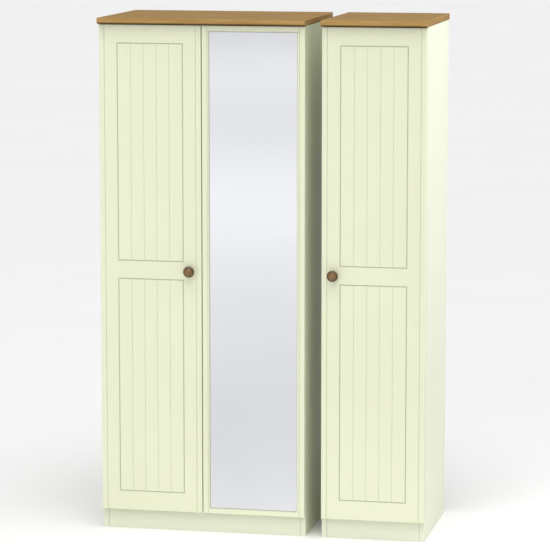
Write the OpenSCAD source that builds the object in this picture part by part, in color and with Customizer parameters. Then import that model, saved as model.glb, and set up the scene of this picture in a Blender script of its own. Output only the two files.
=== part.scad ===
// Wardrobe with doors: a two-door unit with one mirror door and a one-door unit beside it.
// Millimetres. X runs to the right, Y to the back, Z up. The origin is on the floor, at the
// middle of the pair.

/* [Overall] */
// Height from the floor to the top face
height = 1830; // [1200:10:2400]
// Width of the two-door unit across its sides
double_w = 738; // [560:2:1000]
// Width of the one-door unit across its sides
single_w = 368; // [280:2:560]
// Depth of the side panels
carcass_d = 482; // [360:2:640]
// Free space between the sides of the two units
unit_gap = 59; // [30:1:200]

/* [Top boards] */
// Thickness of a top board
top_t = 22; // [16:1:40]
// How far a top board stands out in front of the door faces
top_front = 22; // [0:1:60]
// How far a top board stands out past each side panel
top_side = 1.5; // [0:0.5:10]
// How far a top board stands out behind the side panels
top_back = 15; // [0:1:50]
// Rounding of a top board's long front edges
top_edge_r = 5; // [1:0.5:7]

/* [Carcass] */
// Thickness of a side panel
side_t = 18; // [15:0.5:25]
// Thickness of the base, shelf, plinth and rails
board_t = 16; // [15:0.5:22]
// Height of the plinth under the base
plinth_h = 68; // [40:1:120]
// How far the plinth sits behind the side panels' front edges
plinth_setback = 1; // [0:0.5:10]
// Height of the rails under the top board
rail_h = 70; // [40:1:110]
// Height of the shelf's top face below the top board
shelf_drop = 270; // [180:5:500]
// How far the shelf's front edge sits behind the side panels' front edges
shelf_setback = 24; // [10:1:80]
// Thickness of the back panels
back_t = 3; // [2:0.5:6]
// How far the back panels sit inside the side panels' rear edges
back_inset = 12; // [8:1:30]
// Depth of the grooves that hold the back panels
groove_depth = 8; // [4:0.5:10]

/* [Doors] */
// Thickness of a door
door_t = 18; // [16:0.5:25]
// Space between a closed door and the carcass
door_gap = 2; // [1.5:0.25:4]
// How far a door stops short of the side panel's outer face
door_reveal = 0.5; // [0:0.5:3]
// Space between the two doors of the wide unit
meeting_gap = 3; // [2:0.5:6]
// Space between a door and the top board
door_top_gap = 2; // [1:0.5:6]
// Height of the door's lower edge above the floor
door_floor = 71; // [60:1:110]
// Rounding of a door's long front edges
door_edge_r = 2.5; // [1:0.5:5]
// Distance of the full-height grooves from the door's edges
edge_groove = 19.2; // [12:0.2:22]
// Width of the full-height grooves
edge_groove_w = 3; // [1:0.5:5]
// Width of a stile beside a routed panel
stile_w = 63.5; // [50:0.5:90]
// Height of the rail above the upper panel
top_rail_w = 62.5; // [40:0.5:120]
// Height of the rail between the panels
mid_rail_w = 60.5; // [50:0.5:120]
// Height of the rail below the lower panel
bottom_rail_w = 67.5; // [40:0.5:140]
// Width of the groove around a routed panel
border_w = 5; // [2:0.5:10]
// Number of planks in a routed panel
planks = 5; // [2:1:9]
// Width of the grooves between the planks
plank_groove_w = 2; // [1:0.5:4]
// Depth of every routed groove
rout_depth = 1.5; // [0.5:0.25:2.5]

/* [Mirror] */
// Width of the mirror door's border at each side of the mirror
mirror_side = 21.5; // [21.5:0.5:60]
// Width of the mirror door's border above and below the mirror
mirror_end = 16; // [10:0.5:80]
// Width of the sloping edge around the mirror
mirror_slope = 5; // [1:0.5:12]
// Thickness of the mirror glass
mirror_t = 3; // [3:0.5:4]
// Thickness of the tape behind the glass
tape_t = 0.8; // [0.5:0.1:1]

/* [Knobs] */
// Diameter of a knob
knob_d = 40; // [25:1:50]
// How far a knob stands out from the door
knob_proj = 34; // [20:1:45]
// Distance of a knob's centre from the door's free edge
knob_edge = 42; // [30:1:60]

/* [Hanging rails] */
// Outer diameter of a hanging rail
rail_d = 25; // [18:1:32]
// Wall of a hanging rail
rail_wall = 1.2; // [0.8:0.1:3]
// Distance of a hanging rail's centre below the shelf
rail_below_shelf = 60; // [45:1:120]

/* [Hinges] */
// Hinges on each door
hinge_count = 4; // [2:1:5]
// Distance of the end hinges from the door's ends
hinge_end = 100; // [70:5:200]
// Diameter of a hinge cup
cup_d = 35; // [35:1:40]
// Depth of a hinge cup in the door
cup_depth = 11.5; // [11:0.1:12]

/* [Fit] */
// Radial clearance of a fastener or a tube in its hole
fit = 0.1; // [0.05:0.05:0.3]
// Radial clearance of a hinge pin in its link
pin_fit = 0.05; // [0.02:0.01:0.1]
// Radial clearance at each hinge's open pivot
open_fit = 0.6; // [0.5:0.05:0.8]

/* [Hidden] */
$fn = 48;
eps = 0.01;

// Colours
cream = [0.92, 0.93, 0.83];
oak = [0.72, 0.56, 0.36];
knob_wood = [0.55, 0.36, 0.20];
raw_board = [0.80, 0.72, 0.58];
steel = [0.72, 0.73, 0.75];
zinc = [0.62, 0.63, 0.66];
glass = [0.82, 0.84, 0.88];

// Frame: the knobs stand out furthest in front, the top boards furthest behind
side_h = height - top_t;
front_reach = door_gap + door_t + max(knob_proj, top_front);
total_w = double_w + unit_gap + single_w;
front_y = front_reach - (front_reach + carcass_d + top_back) / 2;
units = [[-total_w / 2, double_w], [-total_w / 2 + double_w + unit_gap, single_w]];
wide = 0;
narrow = 1;

// Carcass
back_y = carcass_d - back_inset - back_t;
base_z = plinth_h + board_t;
shelf_z = side_h - shelf_drop - board_t;
socket_z = shelf_z - rail_below_shelf;
socket_y = back_y / 2;
rail_z = side_h - rail_h;
back_bottom = plinth_h / 2;

// A cutting tool runs this far past a face, and a hole this far into free space
over = 1;
far = 20;

// Back panels: their play in the grooves and the strip that joins the wide unit's halves
back_play = 1;
strip_web = 2;
strip_w = 24;
strip_t = 1;
back_pin_z = [plinth_h + board_t / 2, rail_z + rail_h / 4];
groove_x = side_t - groove_depth + back_play;

// Fasteners: dowels, cam discs with their bolts, shelf studs and pins
dowel_d = 8;
dowel_l = 30;
dowel_in_side = 12;
cam_d = 15;
cam_past = 4.5;
base_cam_l = board_t / 2 + cam_past;
side_cam_l = side_t / 2 + cam_past;
cam_reach = 34;
cam_bolt_d = 5;
cam_thread_d = 6;
cam_thread_l = 10.5;
cam_neck_d = 7;
cam_play = 0.5;
cam_recess = 0.3;
cam_slot = [4, 0.6, 2];
cam_head_l = 3;
stud_d = 5;
stud_in = 9;
stud_out = 8;
stud_collar = 1;
stud_collar_t = 0.4;
stud_row_front = shelf_setback + 40;
stud_row_back = back_y - 50;
shelf_play = 0.5;
shelf_back_play = 2;
pin_d = 1.4;
pin_l = 14;
pin_head_d = 4;
pin_head_t = 0.8;
pin_pitch = 150;
pin_margin = 30;
buffer_d = 8;
buffer_t = 1.6;
buffer_inset = 14;
screw_d = 3.6;
screw_l = 12;
screw_head_d = 6.6;
screw_head_t = 1.6;
screw_slot = [0.8, 0.4, 1.8];
base_dowel_y = [40, back_y - 40];
cam_y = [90, back_y - 90];
top_dowel_y = [30, back_y - 30];
rail_dowel_z = rail_z + rail_h / 2;
plinth_dowel_z = plinth_h / 2;
plinth_mid_y = plinth_setback + board_t / 2;
front_rail_y = board_t / 2;
back_rail_y = back_y - board_t / 2;
// Each dowel between a side panel and a board, as its place [y, z] on the panel
side_dowels = concat(
    [for (y = base_dowel_y) [y, plinth_h + board_t / 2]],
    [[plinth_mid_y, plinth_dowel_z], [back_rail_y, plinth_dowel_z],
     [front_rail_y, rail_dowel_z], [back_rail_y, rail_dowel_z]]);

// Hanging rail sockets
socket_plate = 3;
socket_cup_d = rail_d + 6;
socket_cup_l = 14;
socket_screw_r = socket_cup_d / 2 + 4;
socket_d = 2 * socket_screw_r + 11;
rail_end_gap = 1;

// Doors
door_w = [(double_w - 2 * door_reveal - meeting_gap) / 2, single_w - 2 * door_reveal];
door_h = side_h - door_top_gap - door_floor;
door_front = -door_gap - door_t;
panel_h = (door_h - top_rail_w - mid_rail_w - bottom_rail_w) / 2;
knob_z = door_floor + bottom_rail_w + panel_h + mid_rail_w / 2;
hinge_pitch = (door_h - 2 * hinge_end) / (hinge_count - 1);
hinge_z = [for (i = [0 : hinge_count - 1]) door_floor + hinge_end + i * hinge_pitch];
// Mirror
mirror_in = mirror_side + mirror_slope;
mirror_low = mirror_end + mirror_slope;
slope_depth = 1.2;
mirror_play = 0.3;
recess_depth = slope_depth + mirror_t + tape_t;
tape_w = 20;
tape_rows = 3;
tape_margin = 30;
// Knobs
knob_screw_d = 4;
knob_screw_in = 16;
knob_head_d = 9;
knob_head_t = 2.2;
knob_slot = [2.5, 1, 0.5];
knob_foot = 0.58;
knob_waist = 0.42;
knob_head = 0.62;
knob_foot_h = 0.08 * knob_proj;
knob_dome = 0.125 * knob_proj;

// Hinge, drawn for a door hung on the left, from the side panel's outer front edge. Each
// pivot is [x from the panel's inner face, y from the door's back face].
hinge_x = side_t;
hinge_y = -door_gap;
long_arm = [hinge_x + 16, hinge_y - 4.3];
long_cup = [hinge_x - 5.9, hinge_y - 1.5];
short_arm = [hinge_x + 4.9, hinge_y - 6.6];
short_cup = [hinge_x - 7.2, hinge_y - 3.1];
cup_x = hinge_x - 12.5 + cup_d / 2;
cup_wall = 1;
cup_flange_t = 1;
cup_ear_x = 9.5;
cup_ear_z = 22.5;
cup_ear_r = 6;
cup_rim = 1;
cup_mouth = 4;
notch_w = 1.5;
notch_depth = 1.5;
link_room = 0.6;
link_r = 2.4;
link_low = 1.1;
link_split = 3.6;
link_high = 6.1;
lug_low = 3.9;
lap_r = 5.6;
lug_r = 2.2;
hinge_pin_r = 1.2;
middle_leaf = 0.75;
outer_leaf = [6.4, 7.9];
arm_leaf_r = 2.8;
plate_t = 3.3;
plate_y = [27, 51];
plate_half_h = 9;
plate_ear_y = 37;
plate_ear_z = 16;
plate_ear_r = 6;
arm_play = 0.2;
arm_x = side_t + plate_t + arm_play;
arm_high = 9;
arm_wall = 1.3;
arm_foot = 5.6;
bar_share = 0.85;
arm_y = [12, 74];
arm_screw_y = 44;
arm_screw_d = 6;
stem_wall = 1.5;
stem_floor = 1;
stem_screw_d = 4;
stem_head_t = 2;
stem_slot = [0.5, 3];

// ---- Placing ----

// Children are drawn from the unit's left outer front corner
module at_unit(k) {
    translate([units[k][0], front_y, 0]) children();
}

// Children are drawn for the unit's left side and mirrored to its right side if wanted
module at_side(k, right) {
    translate([units[k][0] + (right ? units[k][1] : 0), front_y, 0])
        mirror([right ? 1 : 0, 0, 0]) children();
}

// Children are drawn for a door at [0, 0] with its hinged edge on the left
module at_door(k, right) {
    at_side(k, right) translate([door_reveal, 0, 0]) children();
}

// Children are drawn for one hinge at height 0, for every hinge of a door
module at_hinges(k, right) {
    at_side(k, right) for (z = hinge_z) translate([0, 0, z]) children();
}

module at_all_hinges() {
    at_hinges(wide, false) children();
    at_hinges(wide, true) children();
    at_hinges(narrow, true) children();
}

module slab(lo, hi) {
    translate(lo) cube(hi - lo);
}

// Cylinders along X and Y, from the given end point
module rod_x(from, l, d) {
    translate(from) rotate([0, 90, 0]) cylinder(d = d, h = l);
}

module rod_y(from, l, d) {
    translate(from) rotate([-90, 0, 0]) cylinder(d = d, h = l);
}

module rod_z(from, l, d) {
    translate(from) cylinder(d = d, h = l);
}

// ---- Side panels ----

module side_panel(hinged) {
    difference() {
        slab([0, 0, 0], [side_t, carcass_d, side_h]);
        // groove for the back panel
        slab([side_t - groove_depth, back_y - fit, -eps],
             [side_t + eps, back_y + back_t + fit, side_h + eps]);
        for (p = side_dowels)
            rod_x([side_t - dowel_in_side - fit, p[0], p[1]], dowel_in_side + over,
                  dowel_d + 2 * fit);
        for (y = top_dowel_y)
            rod_z([side_t / 2, y, side_h - dowel_l / 2 - fit], dowel_l, dowel_d + 2 * fit);
        for (y = cam_y) {
            // thread of the base's bolt
            rod_x([side_t - cam_thread_l - fit, y, plinth_h + board_t / 2],
                  cam_thread_l + over, cam_thread_d + 2 * fit);
            // disc and bolt that hold the top board
            rod_x([side_t - side_cam_l, y, side_h - cam_reach], side_cam_l + over,
                  cam_d + 2 * fit);
            rod_z([side_t / 2, y, side_h - cam_reach], cam_reach + over,
                  cam_neck_d + 2 * fit);
        }
        for (y = [stud_row_front, stud_row_back])
            rod_x([side_t - stud_in - fit, y, shelf_z - stud_d / 2], stud_in + over,
                  stud_d + 2 * fit);
        for (s = [-1, 1])
            rod_x([side_t - screw_l, socket_y, socket_z + s * socket_screw_r],
                  screw_l + over, screw_d + 2 * fit);
        if (hinged) for (z = hinge_z, s = [-1, 1])
            rod_x([side_t - screw_l, plate_ear_y, z + s * plate_ear_z], screw_l + over,
                  screw_d + 2 * fit);
    }
}

module double_left_side() {
    color(cream) at_side(wide, false) side_panel(true);
}

module double_right_side() {
    color(cream) at_side(wide, true) side_panel(true);
}

module single_left_side() {
    color(cream) at_side(narrow, false) side_panel(false);
}

module single_right_side() {
    color(cream) at_side(narrow, true) side_panel(true);
}

// ---- Top boards ----

// A board whose two long front edges are rounded, with bolt and dowel holes underneath
module top_board(k) {
    w = units[k][1];
    y0 = door_front - top_front;
    y1 = carcass_d + top_back;
    r = top_edge_r;
    at_unit(k) difference() {
        translate([-top_side, 0, side_h]) rotate([90, 0, 90])
            linear_extrude(w + 2 * top_side) {
                translate([y0 + r, 0]) square([y1 - y0 - r, top_t]);
                translate([y0, r]) square([r + eps, top_t - 2 * r]);
                for (z = [r, top_t - r]) translate([y0 + r, z]) circle(r);
            }
        for (x = [side_t / 2, w - side_t / 2]) {
            for (y = top_dowel_y)
                rod_z([x, y, side_h - over], over + dowel_l / 2 + fit, dowel_d + 2 * fit);
            for (y = cam_y)
                rod_z([x, y, side_h - over], over + cam_thread_l + fit,
                      cam_thread_d + 2 * fit);
        }
    }
}

module double_top() {
    color(oak) top_board(wide);
}

module single_top() {
    color(oak) top_board(narrow);
}

// ---- Boards between the sides ----

// A board from side to side, with a dowel hole in each end at every place in dowel_at
module cross_board(k, y0, y1, z0, z1, dowel_at) {
    w = units[k][1];
    at_unit(k) difference() {
        slab([side_t, y0, z0], [w - side_t, y1, z1]);
        for (p = dowel_at) {
            rod_x([side_t - over, p[0], p[1]], over + dowel_l - dowel_in_side + fit,
                  dowel_d + 2 * fit);
            rod_x([w - side_t - dowel_l + dowel_in_side - fit, p[0], p[1]],
                  over + dowel_l - dowel_in_side + fit, dowel_d + 2 * fit);
        }
        children();
    }
}

// Pilot holes for the pins that hold the back panel to a board's rear edge
module pin_pilots(k, z) {
    for (x = pin_x(k)) rod_y([x, back_y - pin_l, z], pin_l + over, pin_d + 2 * fit);
}

function pin_x(k) =
    let (span = units[k][1] - 2 * (side_t + pin_margin),
         n = 2 * max(1, round(span / pin_pitch / 2)))
    [for (i = [0 : n - 1]) side_t + pin_margin + span * (i + 0.5) / n];

module base_board(k) {
    z = plinth_h + board_t / 2;
    cross_board(k, 0, back_y, plinth_h, base_z, [for (y = base_dowel_y) [y, z]]) {
        for (y = cam_y, s = [0, 1]) translate([s * units[k][1], 0, 0]) mirror([s, 0, 0]) {
            rod_z([side_t + cam_reach, y, plinth_h - over], over + base_cam_l,
                  cam_d + 2 * fit);
            rod_x([side_t - over, y, z], over + cam_reach, cam_neck_d + 2 * fit);
        }
        pin_pilots(k, z);
    }
}

module plinth_board(k) {
    cross_board(k, plinth_setback, plinth_setback + board_t, 0, plinth_h,
                [[plinth_mid_y, plinth_dowel_z]]);
}

module foot_rail(k) {
    cross_board(k, back_y - board_t, back_y, 0, plinth_h, [[back_rail_y, plinth_dowel_z]]);
}

module front_rail(k) {
    cross_board(k, 0, board_t, rail_z, side_h, [[front_rail_y, rail_dowel_z]]);
}

module back_rail(k) {
    cross_board(k, back_y - board_t, back_y, rail_z, side_h, [[back_rail_y, rail_dowel_z]])
        pin_pilots(k, rail_z + rail_h / 4);
}

module shelf_board(k) {
    at_unit(k) slab([side_t + shelf_play, shelf_setback, shelf_z],
                    [units[k][1] - side_t - shelf_play, back_y - shelf_back_play,
                     shelf_z + board_t]);
}

module double_base() {
    color(cream) base_board(wide);
}

module double_plinth() {
    color(cream) plinth_board(wide);
}

module double_foot_rail() {
    color(cream) foot_rail(wide);
}

module double_front_rail() {
    color(cream) front_rail(wide);
}

module double_back_rail() {
    color(cream) back_rail(wide);
}

module double_shelf() {
    color(cream) shelf_board(wide);
}

module single_base() {
    color(cream) base_board(narrow);
}

module single_plinth() {
    color(cream) plinth_board(narrow);
}

module single_foot_rail() {
    color(cream) foot_rail(narrow);
}

module single_front_rail() {
    color(cream) front_rail(narrow);
}

module single_back_rail() {
    color(cream) back_rail(narrow);
}

module single_shelf() {
    color(cream) shelf_board(narrow);
}

// ---- Back panels ----

// A sheet in the grooves of the side panels, between the two x values, with pin holes
module back_sheet(k, x0, x1) {
    at_unit(k) difference() {
        slab([x0, back_y, back_bottom], [x1, back_y + back_t, side_h - back_play]);
        for (x = pin_x(k), z = back_pin_z)
            rod_y([x, back_y - over, z], back_t + 2 * over, pin_d + 2 * fit);
    }
}

module double_back_left() {
    color(cream) back_sheet(wide, groove_x, (double_w - strip_web) / 2 - fit);
}

module double_back_right() {
    color(cream) back_sheet(wide, (double_w + strip_web) / 2 + fit, double_w - groove_x);
}

// H-shaped plastic strip that joins the two halves between the base and the back rail
module double_back_strip() {
    z0 = base_z + back_play;
    z1 = rail_z - back_play;
    color("white") at_unit(wide) translate([double_w / 2, 0, 0]) {
        slab([-strip_web / 2, back_y - strip_t, z0],
             [strip_web / 2, back_y + back_t + strip_t, z1]);
        for (y = [back_y - strip_t - fit, back_y + back_t + fit])
            slab([-strip_w / 2, y, z0], [strip_w / 2, y + strip_t, z1]);
    }
}

module single_back() {
    color(cream) back_sheet(narrow, groove_x, single_w - groove_x);
}

module back_pins() {
    color(steel) for (k = [wide, narrow]) at_unit(k)
        for (x = pin_x(k), z = back_pin_z) {
            rod_y([x, back_y - pin_l + fit, z], pin_l + back_t, pin_d);
            rod_y([x, back_y + back_t, z], pin_head_t, pin_head_d);
        }
}

// ---- Inside fittings ----

module hanging_rail(k) {
    l = units[k][1] - 2 * (side_t + socket_plate + rail_end_gap);
    at_unit(k) difference() {
        rod_x([side_t + socket_plate + rail_end_gap, socket_y, socket_z], l, rail_d);
        rod_x([side_t, socket_y, socket_z], l + far, rail_d - 2 * rail_wall);
    }
}

module double_hanging_rail() {
    color(steel) hanging_rail(wide);
}

module single_hanging_rail() {
    color(steel) hanging_rail(narrow);
}

module at_sockets() {
    for (k = [wide, narrow], right = [false, true])
        at_side(k, right) translate([side_t, socket_y, socket_z]) children();
}

// Round plates with a cup that the hanging rail lies in
module rail_sockets() {
    color(steel) at_sockets() difference() {
        union() {
            rod_x([0, 0, 0], socket_plate, socket_d);
            rod_x([0, 0, 0], socket_cup_l, socket_cup_d);
        }
        rod_x([socket_plate, 0, 0], socket_cup_l, rail_d + 2 * fit);
        for (s = [-1, 1])
            rod_x([-over, 0, s * socket_screw_r], socket_plate + 2 * over,
                  screw_d + 2 * fit);
    }
}

// A wood screw along X: its head starts at x = 0 and its shank goes to the left
module wood_screw(l) {
    difference() {
        rod_x([0, 0, 0], screw_head_t, screw_head_d);
        for (a = [0, 90]) rotate([a, 0, 0])
            slab([screw_head_t - screw_slot[0], -screw_slot[1], -screw_slot[2]],
                 [screw_head_t + over, screw_slot[1], screw_slot[2]]);
    }
    rod_x([-l, 0, 0], l, screw_d);
}

module socket_screws() {
    color(zinc) at_sockets() for (s = [-1, 1])
        translate([socket_plate, 0, s * socket_screw_r]) wood_screw(screw_l);
}

module shelf_studs() {
    color(zinc) for (k = [wide, narrow], right = [false, true]) at_side(k, right)
        for (y = [stud_row_front, stud_row_back]) {
            rod_x([side_t - stud_in, y, shelf_z - stud_d / 2], stud_in + stud_out, stud_d);
            rod_x([side_t, y, shelf_z - stud_d / 2], stud_collar_t, stud_d + 2 * stud_collar);
        }
}

module dowels() {
    color(raw_board) for (k = [wide, narrow], right = [false, true]) at_side(k, right) {
        for (p = side_dowels) rod_x([side_t - dowel_in_side, p[0], p[1]], dowel_l, dowel_d);
        for (y = top_dowel_y)
            rod_z([side_t / 2, y, side_h - dowel_l / 2], dowel_l, dowel_d);
    }
}

module cam_discs() {
    color(zinc) for (k = [wide, narrow], right = [false, true]) at_side(k, right)
        for (y = cam_y) {
            translate([side_t + cam_reach, y, plinth_h + cam_recess]) cam_disc_base();
            translate([side_t - cam_recess, y, side_h - cam_reach]) cam_disc_side();
        }
}

// The disc under the base takes a bolt along X; the disc in the side takes one along Z
module cam_disc_base() {
    difference() {
        cylinder(d = cam_d, h = base_cam_l - cam_play);
        rod_x([-cam_d, 0, board_t / 2 - cam_recess], 2 * cam_d, cam_neck_d + 2 * fit);
        for (a = [0, 90]) rotate([0, 0, a])
            slab([-cam_slot[0], -cam_slot[1], -over], cam_slot);
    }
}

module cam_disc_side() {
    difference() {
        rod_x([cam_play - side_cam_l, 0, 0], side_cam_l - cam_play, cam_d);
        rod_z([cam_recess - side_t / 2, 0, -cam_d], 2 * cam_d, cam_neck_d + 2 * fit);
        for (a = [0, 90]) rotate([a, 0, 0])
            slab([-cam_slot[2], -cam_slot[1], -cam_slot[0]], [over, cam_slot[1], cam_slot[0]]);
    }
}

// Bolt along Z from its head, which sits in a disc, to the end of its thread
module cam_bolt() {
    cylinder(d = cam_neck_d, h = cam_head_l);
    cylinder(d = cam_bolt_d, h = cam_reach);
    translate([0, 0, cam_reach]) cylinder(d = cam_thread_d, h = cam_thread_l);
}

module cam_bolts() {
    color(steel) for (k = [wide, narrow], right = [false, true]) at_side(k, right)
        for (y = cam_y) {
            translate([side_t + cam_reach, y, plinth_h + board_t / 2])
                rotate([0, -90, 0]) cam_bolt();
            translate([side_t / 2, y, side_h - cam_reach]) cam_bolt();
        }
}

// Soft dots on the carcass that the doors close on, above and below each free edge
module door_buffers() {
    color("white") for (d = [[wide, false], [wide, true], [narrow, true]])
        at_door(d[0], d[1]) for (z = [plinth_h + board_t / 2, rail_z + rail_h / 2])
            rod_y([door_w[d[0]] - buffer_inset - buffer_shift(d[0]), -buffer_t, z],
                  buffer_t, buffer_d);
}

// The narrow unit's free edge lies over the side panel, so its buffers sit further in
function buffer_shift(k) = k == narrow ? side_t : 0;

// ---- Doors ----

// Outline of a door seen from above: rounded front edges and a groove beside each edge
module door_outline(w) {
    r = door_edge_r;
    difference() {
        union() {
            translate([0, door_front + r]) square([w, door_t - r]);
            translate([r, door_front]) square([w - 2 * r, r + eps]);
            for (x = [r, w - r]) translate([x, door_front + r]) circle(r);
        }
        for (x = [edge_groove, w - edge_groove])
            polygon([[x - edge_groove_w / 2, door_front - eps], [x, door_front + rout_depth],
                     [x + edge_groove_w / 2, door_front - eps]]);
    }
}

// The door's slab with its hinge cup bores
module door_slab(w) {
    difference() {
        translate([0, 0, door_floor]) linear_extrude(door_h) door_outline(w);
        for (z = hinge_z) {
            rod_y([cup_x - door_reveal, -door_gap - cup_depth, z], cup_depth + over,
                  cup_d + 2 * fit);
            // notch in the bore's rim that the open short link passes through
            slab([cup_x - door_reveal - cup_d / 2 - notch_w, -door_gap - notch_depth,
                  z - link_high - link_room],
                 [cup_x - door_reveal - cup_d / 4, -door_gap + over,
                  z + link_high + link_room]);
            for (s = [-1, 1])
                rod_y([cup_x - door_reveal + cup_ear_x, -door_gap - screw_l,
                       z + s * cup_ear_z], screw_l + over, screw_d + 2 * fit);
        }
    }
}

// Groove around a routed panel and the grooves between its planks
module routed_panel(w, z0) {
    x0 = stile_w;
    x1 = w - stile_w;
    z1 = z0 + panel_h;
    b = border_w;
    y0 = door_front - over;
    y1 = door_front + rout_depth;
    field = x1 - x0 - 2 * b;
    difference() {
        slab([x0, y0, z0], [x1, y1, z1]);
        slab([x0 + b, y0 - over, z0 + b], [x1 - b, y1 + over, z1 - b]);
    }
    for (i = [1 : planks - 1]) {
        x = x0 + b + field * i / planks;
        slab([x - plank_groove_w / 2, y0, z0 + b - eps],
             [x + plank_groove_w / 2, y1 - rout_depth / 3, z1 - b + eps]);
    }
}

module plain_door(w) {
    difference() {
        door_slab(w);
        routed_panel(w, door_floor + bottom_rail_w);
        routed_panel(w, door_floor + bottom_rail_w + panel_h + mid_rail_w);
        rod_y([w - knob_edge, door_front - over, knob_z], door_t + 2 * over,
              knob_screw_d + 2 * fit);
    }
}

module left_door() {
    color(cream) at_door(wide, false) plain_door(door_w[wide]);
}

module right_door() {
    color(cream) at_door(narrow, true) plain_door(door_w[narrow]);
}

// Recess for the mirror: a straight pocket with a sloping edge around its mouth
module mirror_recess(w) {
    z0 = door_floor + mirror_low;
    z1 = door_floor + door_h - mirror_low;
    slab([mirror_in, door_front - over, z0], [w - mirror_in, door_front + recess_depth, z1]);
    // the slopes are triangles in section, along each side and each end
    for (s = [0, 1]) translate([s * w, 0, 0]) mirror([s, 0, 0])
        translate([0, 0, door_floor + mirror_end])
            linear_extrude(door_h - 2 * mirror_end)
                polygon([[mirror_side, door_front], [mirror_in + eps, door_front + slope_depth],
                         [mirror_in + eps, door_front - over],
                         [mirror_side, door_front - over]]);
    for (s = [0, 1]) translate([0, 0, s * (2 * door_floor + door_h)]) mirror([0, 0, s])
        translate([mirror_side, 0, door_floor]) rotate([90, 0, 90])
            linear_extrude(w - 2 * mirror_side)
                polygon([[door_front, mirror_end], [door_front + slope_depth, mirror_low + eps],
                         [door_front - over, mirror_low + eps],
                         [door_front - over, mirror_end]]);
}

module mirror_door() {
    color(cream) at_door(wide, true) difference() {
        door_slab(door_w[wide]);
        mirror_recess(door_w[wide]);
    }
}

module mirror_glass() {
    w = door_w[wide];
    y = door_front + slope_depth;
    in = mirror_in + mirror_play;
    low = mirror_low + mirror_play;
    color(glass) at_door(wide, true)
        slab([in, y, door_floor + low], [w - in, y + mirror_t, door_floor + door_h - low]);
}

module mirror_tape() {
    w = door_w[wide];
    y = door_front + slope_depth + mirror_t;
    first = mirror_in + tape_margin;
    pitch = (w - 2 * first - tape_w) / (tape_rows - 1);
    color("white") at_door(wide, true) for (i = [0 : tape_rows - 1])
        slab([first + i * pitch, y, door_floor + mirror_low + tape_margin],
             [first + i * pitch + tape_w, y + tape_t,
              door_floor + door_h - mirror_low - tape_margin]);
}

// ---- Knobs ----

// Turned knob: a foot, a waist and a rounded head, with a blind hole for its screw
module knob() {
    r = knob_d / 2;
    foot_r = knob_foot * r;
    waist_r = knob_waist * r;
    half_t = min(knob_head * knob_proj / 2, 0.7 * r);
    steps = 12;
    // the head's rounded rim, then its crowned face
    rim = [for (i = [0 : steps]) let (a = -90 + 180 * i / steps)
        [r - half_t + half_t * cos(a), knob_proj - knob_dome - half_t + half_t * sin(a)]];
    face = [for (i = [1 : steps]) let (t = 1 - i / steps)
        [(r - half_t) * t, knob_proj - knob_dome * t * t]];
    rotate([90, 0, 0]) difference() {
        rotate_extrude($fn = 64) polygon(concat(
            [[0, 0], [foot_r, 0], [foot_r, knob_foot_h], [waist_r, 2 * knob_foot_h],
             [waist_r, knob_proj - knob_dome - 2 * half_t - over]],
            rim, face));
        translate([0, 0, -over]) cylinder(d = knob_screw_d + 2 * fit,
                                          h = knob_screw_in + 2 * over);
    }
}

module knob_at(k, right) {
    at_door(k, right) translate([door_w[k] - knob_edge, door_front, knob_z]) knob();
}

// Machine screw from the back of the door into the knob
module knob_screw_at(k, right) {
    at_door(k, right) translate([door_w[k] - knob_edge, 0, knob_z]) {
        rod_y([0, door_front - knob_screw_in, 0], knob_screw_in + door_t, knob_screw_d);
        difference() {
            rod_y([0, -door_gap, 0], knob_head_t, knob_head_d);
            for (a = [0, 90]) rotate([0, a, 0])
                slab([-knob_slot[0], -door_gap + knob_head_t - knob_slot[1], -knob_slot[2]],
                     [knob_slot[0], -door_gap + knob_head_t + over, knob_slot[2]]);
        }
    }
}

module left_knob() {
    color(knob_wood) knob_at(wide, false);
}

module left_knob_screw() {
    color(zinc) knob_screw_at(wide, false);
}

module right_knob() {
    color(knob_wood) knob_at(narrow, true);
}

module right_knob_screw() {
    color(zinc) knob_screw_at(narrow, true);
}

// ---- Hinges ----

// A flat bar between two pivots, with a wider round eye at each end, as a 2D shape
module bar_2d(p, q, r) {
    d = q - p;
    half = bar_share * r;
    translate(p) rotate(atan2(d[1], d[0])) translate([0, -half]) square([norm(d), 2 * half]);
    for (c = [p, q]) translate(c) circle(r);
}

// Levels of the upper (long) link's side; the short link's side is its mirror image
module low_side() {
    mirror([0, 0, 1]) children();
}

// A link from its arm pivot to its cup pivot; its cup end is half as thick, to lap a lug
module link(arm, cup, cup_bore_r) {
    difference() {
        translate([0, 0, link_low]) linear_extrude(link_high - link_low)
            bar_2d(arm, cup, link_r);
        translate([cup[0], cup[1], link_split]) cylinder(r = lap_r, h = far);
        translate([arm[0], arm[1], 0]) cylinder(r = hinge_pin_r + pin_fit, h = far);
        translate([cup[0], cup[1], 0]) cylinder(r = cup_bore_r, h = far);
    }
}

module long_links(k, right) {
    color(zinc) at_hinges(k, right) link(long_arm, long_cup, hinge_pin_r + pin_fit);
}

module short_links(k, right) {
    color(zinc) at_hinges(k, right) low_side()
        link(short_arm, short_cup, hinge_pin_r + open_fit);
}

// A lug that stands up from the cup's floor to a pivot
module cup_lug(pivot) {
    floor_y = -door_gap - cup_depth + cup_wall;
    translate([0, 0, lug_low]) linear_extrude(link_high - lug_low) difference() {
        union() {
            translate(pivot) circle(lug_r);
            translate([pivot[0] - lug_r, floor_y - cup_wall / 2])
                square([2 * lug_r, pivot[1] - floor_y + cup_wall / 2]);
        }
        translate(pivot) circle(hinge_pin_r);
    }
}

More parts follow.
